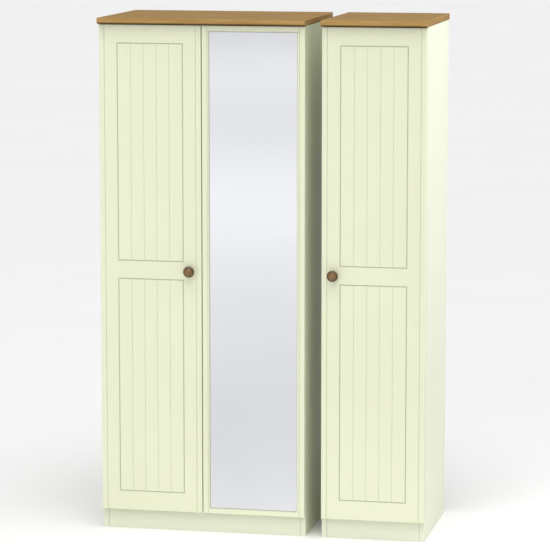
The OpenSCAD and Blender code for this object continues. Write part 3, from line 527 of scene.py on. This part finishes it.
def groove_shade(tree, shader, colour_socket, tint):
    """Paints shade into the foil where the groove attribute is high and on edges that face
    down, which is what makes fine routing read from a distance."""
    depth = add(tree, "ShaderNodeAttribute", {"attribute_name": "groove"})
    share = add(tree, "ShaderNodeMapRange",
                links={"Value": depth.outputs["Fac"], "From Min": 0.03, "From Max": 0.95,
                       "To Min": 0.0, "To Max": 1.0})
    normal = add(tree, "ShaderNodeSeparateXYZ",
                 links={"Vector": add(tree, "ShaderNodeNewGeometry").outputs["Normal"]})
    painted_underside_shade = add(tree, "ShaderNodeMapRange",
                links={"Value": normal.outputs["Z"], "From Min": -0.2, "From Max": -0.7,
                       "To Min": 0.0, "To Max": 1.0})
    most = add(tree, "ShaderNodeMath", {"operation": "MAXIMUM"},
               {0: share.outputs[0], 1: painted_underside_shade.outputs[0]})
    both = add(tree, "ShaderNodeMix", {"data_type": "RGBA"},
               {"Factor": most.outputs[0], "A": colour_socket, "B": linear(tint)})
    tree.links.new(both.outputs["Result"], shader.inputs["Base Color"])


door_vinyl, tree, shader, base = cream_foil("cream_vinyl_wrap", "#E8EBCE", "#E5E8CA", 0.40, 1.2)
# painted shade in the routed grooves and along the doors' downward-facing edges
groove_shade(tree, shader, base, "#B3B599")
for door, from_right in (("left", False), ("right", True)):
    low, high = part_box(door + "_door")
    show(door + "_door_leaf", door_mesh(door, from_right, *plain_face(low, high)),
         [door_vinyl], door + "_door", "cream_door", door + "_door")


# ---- Mirror door ----
# The same wrapped board, routed as a frame: the glass lies in a recess whose edge slopes
# down to it, and the fine grooves run beside the long edges as on the plain doors.

mirror_side, mirror_end, slope_w, slope_depth, recess = (
    21.5 * mm, 16 * mm, 5 * mm, 1.2 * mm, 5 * mm)
slope_shade = 0.9


def mirror_face(low, high):
    """Grid lines and relief of the mirror door's face."""
    width, height = high.x - low.x, high.z - low.z
    step = 0.02 * mm
    edges = (edge_groove, width - edge_groove)

    def relief(u, v):
        fine = max(groove(u - edge, edge_groove_w / 2, rout_depth) for edge in edges)
        right, left = u - mirror_side, width - mirror_side - u
        inside = min(right, left, v - mirror_end, height - mirror_end - v)
        share = min(max(inside / slope_w, 0), 1)
        # painted shade: the three slopes away from the hinges are darkened; the slope beside the
        # hinges is not
        shade = 0.0 if inside == right else slope_shade * share
        if inside > slope_w + step / 2:
            return recess, shade
        return max(fine, slope_depth * share), max(fine_shade * fine / rout_depth, shade)

    rises = (0, slope_w / 2, slope_w, slope_w + step)
    lines_u = [edge + s * edge_groove_w / 2 for edge in edges for s in soft_edge]
    lines_u += [u for r in rises for u in (mirror_side + r, width - mirror_side - r)]
    lines_v = [v for r in rises for v in (mirror_end + r, height - mirror_end - r)]
    return lines_u, lines_v, relief


low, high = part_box("mirror_door")
show("mirror_door_leaf", door_mesh("mirror", True, *mirror_face(low, high)), [door_vinyl],
     "mirror_door", "cream_door", "mirror_door")

# The glass: 3 mm float glass, silvered behind, with a ground edge 0.7 mm wide.
silvered_glass, tree, shader = new_finish("silvered_float_glass", Metallic=1.0,
                                          Roughness=0.02)
place = add(tree, "ShaderNodeTexCoord").outputs["Object"]
# float glass is slightly wavy over a few hundred millimetres
wave = add(tree, "ShaderNodeTexNoise", links={"Vector": place, "Scale": 3.0, "Detail": 1.0})
tree.links.new(colour_steps(tree, wave.outputs["Fac"], [(0.3, "#D7D8DC"), (0.7, "#DBDCE0")]),
               shader.inputs["Base Color"])
ground_edge, tree, shader = new_finish("ground_glass_edge", IOR=1.52, Roughness=0.45)
place = add(tree, "ShaderNodeTexCoord").outputs["Object"]
grind = add(tree, "ShaderNodeTexNoise", links={"Vector": place, "Scale": 900.0, "Detail": 2.0})
tree.links.new(colour_steps(tree, grind.outputs["Fac"], [(0.3, "#8FA39B"), (0.7, "#B4C4BC")]),
               shader.inputs["Base Color"])


def glass_mesh(name, low, high, ease):
    """A pane whose front edge is ground off by ease, with the ground edge as a finish of
    its own."""
    shape = bmesh.new()
    rings = [(low.y + ease, 0.0), (low.y, ease)]
    outline = [(low.x, low.z, 1, 1), (high.x, low.z, -1, 1), (high.x, high.z, -1, -1),
               (low.x, high.z, 1, -1)]
    back, middle, face = [[shape.verts.new((x + sx * shrink, y, z + sz * shrink))
                           for x, z, sx, sz in outline]
                          for y, shrink in [(high.y, 0.0)] + rings]
    for near, far in ((back, middle), (middle, face)):
        for i in range(4):
            side = shape.faces.new((near[i], near[(i + 1) % 4], far[(i + 1) % 4], far[i]))
            side.material_index = 1
    shape.faces.new(face)
    shape.faces.new(back).material_index = 1
    bmesh.ops.recalc_face_normals(shape, faces=shape.faces[:])
    mesh = bpy.data.meshes.new(name)
    shape.to_mesh(mesh)
    shape.free()
    return mesh


low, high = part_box("mirror_glass")
show("mirror_pane", glass_mesh("mirror_pane", low, high, 0.7 * mm),
     [silvered_glass, ground_edge], "mirror_door", "mirror", "mirror_glass")


# ---- Knobs ----
# Turned beech, stained brown and lacquered: a small foot on the door, a waist, and a broad
# rounded head with a shallow crowned face. A machine screw through the door holds it.

def turned_mesh(name, axis_at, profile, segments):
    """Turns (radius, distance in front of the door) points round an axis along -Y."""
    x, y, z = axis_at
    shape = bmesh.new()
    rings = []
    for radius, out in profile:
        if radius == 0:
            rings.append([shape.verts.new((x, y - out, z))])
        else:
            rings.append([shape.verts.new((x + radius * math.cos(math.tau * i / segments),
                                           y - out,
                                           z + radius * math.sin(math.tau * i / segments)))
                          for i in range(segments)])
    for near, far in zip(rings, rings[1:]):
        for i in range(segments):
            j = (i + 1) % segments
            if len(near) == 1:
                shape.faces.new((near[0], far[j], far[i]))
            elif len(far) == 1:
                shape.faces.new((near[i], near[j], far[0]))
            else:
                shape.faces.new((near[i], near[j], far[j], far[i]))
    bmesh.ops.recalc_face_normals(shape, faces=shape.faces[:])
    mesh = bpy.data.meshes.new(name)
    shape.to_mesh(mesh)
    shape.free()
    return soften(mesh, 50)


def knob_profile(radius, reach):
    """From the door: foot, cove, waist, ball-shaped head and crowned face."""
    foot_h, dome, half_t = 0.08 * reach, 0.125 * reach, 0.31 * reach
    foot_r, waist_r, foot_ease = 0.58 * radius, 0.42 * radius, 0.4 * mm
    foot = [(0, 0), (0.52 * radius, 0), (0.57 * radius, foot_ease), (foot_r, foot_h)]
    cove = [(foot_r - (foot_r - waist_r) * math.sin(math.pi / 2 * t),
             foot_h * (1.15 + 0.85 * t)) for t in (0, 0.2, 0.4, 0.7, 1)]
    middle = reach - dome - half_t
    head = [(radius - half_t + half_t * math.cos(math.radians(a)),
             middle + half_t * math.sin(math.radians(a))) for a in range(-80, 91, 10)]
    face = [((radius - half_t) * t, reach - dome * t * t)
            for t in (0.85, 0.7, 0.55, 0.4, 0.25, 0.12, 0)]
    return foot + cove + head + face


def stained_wood(name, centre):
    """Stained beech: brown with short dark flecks along the grain, under a semi-gloss lacquer,
    with painted shade that darkens it towards the rim."""
    material, tree, shader = new_finish(name, IOR=1.5, Roughness=0.36, Coat_Weight=0.12,
                                        Coat_Roughness=0.15)
    place = add(tree, "ShaderNodeTexCoord").outputs["Object"]
    local = add(tree, "ShaderNodeMapping", {"vector_type": "POINT"},
                {"Vector": place, "Location": [-c for c in centre]})
    lay = add(tree, "ShaderNodeMapping",
              links={"Vector": local.outputs[0], "Scale": (1.0, 1.0, 0.12)})
    grain = add(tree, "ShaderNodeTexNoise",
                links={"Vector": lay.outputs[0], "Scale": 420.0, "Detail": 4.0,
                       "Roughness": 0.6})
    wood = colour_steps(tree, grain.outputs["Fac"],
                        [(0.3, "#664A25"), (0.5, "#7E5D30"), (0.7, "#94713C")])
    flat = add(tree, "ShaderNodeVectorMath", {"operation": "MULTIPLY"},
               {0: local.outputs[0], 1: (1.0, 0.0, 1.0)})
    reach = add(tree, "ShaderNodeVectorMath", {"operation": "LENGTH"},
                {0: flat.outputs["Vector"]})
    # painted shade: darker towards the rim, where the rounded head turns away from the light
    rim = add(tree, "ShaderNodeMapRange",
              links={"Value": reach.outputs["Value"], "From Min": 8 * mm,
                     "From Max": 19 * mm, "To Min": 0.0, "To Max": 0.9})
    both = add(tree, "ShaderNodeMix", {"data_type": "RGBA"},
               {"Factor": rim.outputs[0], "A": wood, "B": linear("#3E2812")})
    tree.links.new(both.outputs["Result"], shader.inputs["Base Color"])
    return material


knob_inset, knob_segments = 0.05 * mm, 72
for door in ("left", "right"):
    low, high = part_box(door + "_knob")
    middle = (low + high) / 2
    profile = knob_profile((high.x - low.x) / 2 - knob_inset, high.y - low.y)
    shape = turned_mesh(door + "_turned_knob", (middle.x, high.y, middle.z), profile,
                        knob_segments)
    show(door + "_turned_knob", shape, [stained_wood(door + "_stained_beech", middle)],
         door + "_door", "knob_wood", door + "_knob")


# ---- Hanging rails and small metal ----
# The rails are chromed steel tube in zinc sockets. Hinges are nickel-plated pressed steel;
# screws, cams, bolts and studs are zinc-plated.

def plated(name, colour, dark, roughness):
    """Plated metal: a clear reflection broken by a fine brushed variation."""
    material, tree, shader = new_finish(name, Metallic=1.0)
    place = add(tree, "ShaderNodeTexCoord").outputs["Object"]
    brush = add(tree, "ShaderNodeTexNoise", links={"Vector": place, "Scale": 700.0,
                                                   "Detail": 3.0})
    rough = add(tree, "ShaderNodeMapRange",
                links={"Value": brush.outputs["Fac"], "From Min": 0.3, "From Max": 0.7,
                       "To Min": roughness, "To Max": roughness * 1.6})
    tree.links.new(colour_steps(tree, brush.outputs["Fac"], [(0.3, dark), (0.7, colour)]),
                   shader.inputs["Base Color"])
    tree.links.new(rough.outputs[0], shader.inputs["Roughness"])
    return material


chrome = plated("chromed_steel_tube", "#DADCE0", "#CDD0D5", 0.06)
nickel = plated("nickel_plated_steel", "#C9C6BE", "#B5B2AA", 0.2)
zinc = plated("zinc_plated_steel", "#B9BDC4", "#9FA4AC", 0.28)
beech, tree, shader = new_finish("bare_beech", IOR=1.5, Roughness=0.6)
place = add(tree, "ShaderNodeTexCoord").outputs["Object"]
lay = add(tree, "ShaderNodeMapping", links={"Vector": place, "Scale": (0.1, 1.0, 1.0)})
fleck = add(tree, "ShaderNodeTexNoise", links={"Vector": lay.outputs[0], "Scale": 900.0,
                                               "Detail": 3.0})
tree.links.new(colour_steps(tree, fleck.outputs["Fac"], [(0.3, "#B48A5C"), (0.7, "#D0A97A")]),
               shader.inputs["Base Color"])
for names, material in (
        (("double_hanging_rail", "single_hanging_rail"), chrome),
        (("rail_sockets", "hinge_arms", "hinge_plates"), nickel),
        (("socket_screws", "shelf_studs", "cam_discs", "cam_bolts", "hinge_arm_pins",
          "left_knob_screw", "right_knob_screw"), zinc),
        (("dowels",), beech)):
    for name in names:
        finish_node(name, material)
for door in ("left", "mirror", "right"):
    for part in ("hinge_cups", "long_links", "short_links"):
        finish_node(f"{door}_{part}", nickel)
    finish_node(door + "_cup_pins", zinc)


# ---- Repeated fixings ----
# Wood screws hold the cups and plates of the hinges, machine screws clamp the arms, and
# round-headed pins hold the backs. Each kind is one turned mesh, the screws with their
# recess, set out in rows by a node tree.

def rows_tree():
    """Sets out the modified mesh in columns of rows and gives it a finish."""
    tree = bpy.data.node_groups.new("set_in_rows", "GeometryNodeTree")
    tree.is_modifier = True
    for name, kind in (("Geometry", "Geometry"), ("Start", "Vector"), ("Columns", "Int"),
                       ("Column Step", "Vector"), ("Rows", "Int"), ("Row Step", "Vector"),
                       ("Finish", "Material")):
        tree.interface.new_socket(name, in_out="INPUT", socket_type="NodeSocket" + kind)
    tree.interface.new_socket("Geometry", in_out="OUTPUT", socket_type="NodeSocketGeometry")
    given = tree.nodes.new("NodeGroupInput").outputs
    columns = add(tree, "GeometryNodeMeshLine", {"mode": "OFFSET"},
                  {"Count": given["Columns"], "Start Location": given["Start"],
                   "Offset": given["Column Step"]})
    rows = add(tree, "GeometryNodeMeshLine", {"mode": "OFFSET"},
               {"Count": given["Rows"], "Offset": given["Row Step"]})
    places = add(tree, "GeometryNodeInstanceOnPoints",
                 links={"Points": columns.outputs[0], "Instance": rows.outputs[0]})
    flat = add(tree, "GeometryNodeRealizeInstances", links={"Geometry": places.outputs[0]})
    fixings = add(tree, "GeometryNodeInstanceOnPoints",
                  links={"Points": flat.outputs[0], "Instance": given["Geometry"]})
    real = add(tree, "GeometryNodeRealizeInstances", links={"Geometry": fixings.outputs[0]})
    done = add(tree, "GeometryNodeSetMaterial",
               links={"Geometry": real.outputs[0], "Material": given["Finish"]})
    add(tree, "NodeGroupOutput", links={"Geometry": done.outputs[0]})
    return tree


set_in_rows = rows_tree()


def in_rows(mesh, **inputs):
    """The mesh set out by the tree, as a plain mesh."""
    worker = bpy.data.objects.new("worker", mesh)
    bpy.context.scene.collection.objects.link(worker)
    modifier = worker.modifiers.new("rows", "NODES")
    modifier.node_group = set_in_rows
    for item in set_in_rows.interface.items_tree:
        value = inputs.get(item.name.replace(" ", "_").lower())
        if item.in_out == "INPUT" and value is not None:
            modifier[item.identifier] = value
    ready = bpy.data.meshes.new_from_object(
        worker.evaluated_get(bpy.context.evaluated_depsgraph_get()))
    worker.modifiers.remove(modifier)
    bpy.data.objects.remove(worker)
    return ready


def headed_mesh(name, head_r, head_t, shank_r, shank_l, cross, axis):
    """A turned fixing: its head starts at the origin and rises along the axis, and its
    shank runs the other way. cross is the half length, half width and depth of its recess."""
    steps, rim, tip_r, tip_l, segments = 6, 0.35, 0.35 * shank_r, 1.2 * shank_r, 24
    dome = [(head_r * math.cos(math.pi / 2 * i / steps),
             head_t * (rim + (1 - rim) * math.sin(math.pi / 2 * i / steps)))
            for i in range(steps)]
    profile = ([(0, -shank_l), (tip_r, -shank_l), (shank_r, tip_l - shank_l), (shank_r, 0),
                (head_r, 0)] + dome + [(0, head_t)])
    mesh = turned_mesh(name, (0, 0, 0), profile, segments)
    if cross:
        half_l, half_w, deep = cross
        mesh = bored(mesh, [], [((0, -head_t, 0), (2 * a, 2 * deep, 2 * b))
                                for a, b in ((half_l, half_w), (half_w, half_l))])
        mesh = soften(mesh, 40)
    # turned_mesh builds along -Y
    turn = Vector((0, -1, 0)).rotation_difference(Vector(axis)).to_matrix().to_4x4()
    mesh.transform(turn)
    return mesh


def joined(name, meshes):
    """Several meshes as one."""
    shape = bmesh.new()
    for mesh in meshes:
        shape.from_mesh(mesh)
    whole = bpy.data.meshes.new(name)
    shape.to_mesh(whole)
    shape.free()
    return whole


wood_screw = dict(head_r=3.3 * mm, head_t=1.6 * mm, shank_r=1.75 * mm,
                  cross=(1.8 * mm, 0.35 * mm, 0.8 * mm))
cup_screw_l, ear_x, ear_z = 11 * mm, 9.5 * mm, 22.5 * mm
for door, outward in (("left", 1), ("mirror", -1), ("right", -1)):
    head_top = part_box(door + "_cup_screws")[1].y
    places = cup_places(door)
    spacing = places[1][1] - places[0][1]
    screw = headed_mesh("cup_screw", shank_l=cup_screw_l, axis=(0, 1, 0), **wood_screw)
    start = (places[0][0] + outward * ear_x, head_top - wood_screw["head_t"],
             places[0][1] - ear_z)
    mesh = in_rows(screw, start=start, columns=len(places), column_step=(0, 0, spacing), rows=2,
                   row_step=(0, 0, 2 * ear_z), finish=zinc)
    mesh.name = door + "_cross_head_screws"
    show(mesh.name, mesh, [], door + "_door", "zinc_fitting", door + "_cup_screws")

# Plate screws and arm screws: four hinges on each of three side panels, heads to the inside
plate_screw_l, plate_screw_y, plate_ear_z, plate_out = 12 * mm, 37 * mm, 16 * mm, 3.3 * mm
arm_screw_y, arm_out = 44 * mm, 12.5 * mm
clamp_screw = dict(head_r=4.5 * mm, head_t=2 * mm, shank_r=2 * mm, shank_l=10.5 * mm,
                   cross=(3 * mm, 0.5 * mm, 1 * mm))
panel_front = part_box("double_left_side")[0].y
sets = []
for door, panel, inward in (("left", "double_left_side", 1), ("mirror", "double_right_side", -1),
                            ("right", "single_right_side", -1)):
    side_low, side_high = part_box(panel)
    face = side_high.x if inward > 0 else side_low.x
    places = cup_places(door)
    spacing = places[1][1] - places[0][1]
    plate_screw = headed_mesh("plate_screw", shank_l=plate_screw_l, axis=(inward, 0, 0),
                              **wood_screw)
    sets.append(in_rows(plate_screw, columns=len(places), column_step=(0, 0, spacing), rows=2,
                        row_step=(0, 0, 2 * plate_ear_z), finish=zinc,
                        start=(face + inward * plate_out, panel_front + plate_screw_y,
                               places[0][1] - plate_ear_z)))
    arm_screw = headed_mesh("arm_screw", axis=(inward, 0, 0), **clamp_screw)
    sets.append(in_rows(arm_screw, columns=len(places), column_step=(0, 0, spacing), rows=1,
                        row_step=(0, 0, 0), finish=zinc,
                        start=(face + inward * arm_out, panel_front + arm_screw_y,
                               places[0][1])))
show("hinge_plate_screws", joined("hinge_plate_screws", sets), [zinc], "carcass",
     "zinc_fitting", "hinge_screws")

# Back pins: two rows behind each unit, about 150 mm apart, heads to the back
pin_head_r, pin_head_t, pin_r, pin_l, pin_margin = 2 * mm, 0.8 * mm, 0.7 * mm, 13.9 * mm, 48 * mm
low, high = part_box("back_pins")
pin = headed_mesh("back_pin", pin_head_r, pin_head_t, pin_r, pin_l, None, (0, 1, 0))
sets = []
for unit, count in (("double", 4), ("single", 2)):
    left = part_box(unit + "_left_side")[0].x + pin_margin
    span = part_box(unit + "_right_side")[1].x - pin_margin - left
    z0, z1 = low.z + pin_head_r, high.z - pin_head_r
    sets.append(in_rows(pin, columns=count, column_step=(span / count, 0, 0), rows=2,
                        row_step=(0, 0, z1 - z0), finish=zinc,
                        start=(left + span / count / 2, high.y - pin_head_t, z0)))
show("back_panel_pins", joined("back_panel_pins", sets), [zinc], "carcass", "zinc_fitting",
     "back_pins")


# ---- Studio ----
# A pale matte floor under an even white sky. A broad soft sun stands high in front and to
# the right, a small lamp fills the right side from above, and two wide lamps far in
# front light the stretch of floor that the mirror shows.

studio_floor, tree, shader = new_finish("painted_studio_floor", Roughness=0.9)
place = add(tree, "ShaderNodeTexCoord").outputs["Object"]
scuff = add(tree, "ShaderNodeTexNoise", links={"Vector": place, "Scale": 0.8, "Detail": 3.0})
tree.links.new(colour_steps(tree, scuff.outputs["Fac"], [(0.3, "#F6F6F6"), (0.7, "#F8F8F8")]),
               shader.inputs["Base Color"])
floor_half = 60.0
floor_mesh = bpy.data.meshes.new("floor")
floor_mesh.from_pydata([(x * floor_half, y * floor_half, 0)
                        for x, y in ((-1, -1), (1, -1), (1, 1), (-1, 1))], [], [(0, 1, 2, 3)])
floor_mesh.materials.append(studio_floor)
floor = bpy.data.objects.new("floor", floor_mesh)
bpy.context.scene.collection.objects.link(floor)

world = bpy.data.worlds.new("white_sky")
world.use_nodes = True
tree = world.node_tree
tree.nodes["Background"].inputs["Color"].default_value = (1.0, 1.0, 1.0, 1.0)
height = add(tree, "ShaderNodeSeparateXYZ",
             links={"Vector": add(tree, "ShaderNodeTexCoord").outputs["Generated"]})
# the sky is dimmer overhead than near the horizon
glow = add(tree, "ShaderNodeMapRange",
           links={"Value": height.outputs["Z"], "From Min": 0.15, "From Max": 0.9,
                  "To Min": 0.58, "To Max": 0.4})
tree.links.new(glow.outputs[0], tree.nodes["Background"].inputs["Strength"])
bpy.context.scene.world = world


def lamp(kind, name, place, aim, size, power):
    """A sun whose size is the angle that it fills, in degrees, or a round lamp whose size
    is its diameter."""
    data = bpy.data.lights.new(name, kind)
    data.energy = power
    if kind == "SUN":
        data.angle = math.radians(size)
    else:
        data.shape, data.size = "DISK", size
    thing = bpy.data.objects.new(name, data)
    thing.location = place
    thing.rotation_mode = "QUATERNION"
    thing.rotation_quaternion = (Vector(aim) - Vector(place)).to_track_quat("-Z", "Y")
    thing.visible_camera = False
    bpy.context.scene.collection.objects.link(thing)


lamp("SUN", "high_sun", (1.1, -3.2, 8.5), (0.0, 0.0, 0.0), 50, 1.72)
lamp("AREA", "side_lamp", (2.1, -0.1, 2.1), (0.6, 0.0, 1.6), 1.2, 14)
lamp("AREA", "near_pool", (-2.2, -9.5, 7.0), (-2.2, -9.5, 0.0), 4.0, 200)
lamp("AREA", "far_pool", (-4.8, -22.0, 9.0), (-4.8, -22.0, 0.0), 4.0, 220)
bpy.context.scene.view_settings.view_transform = "Standard"
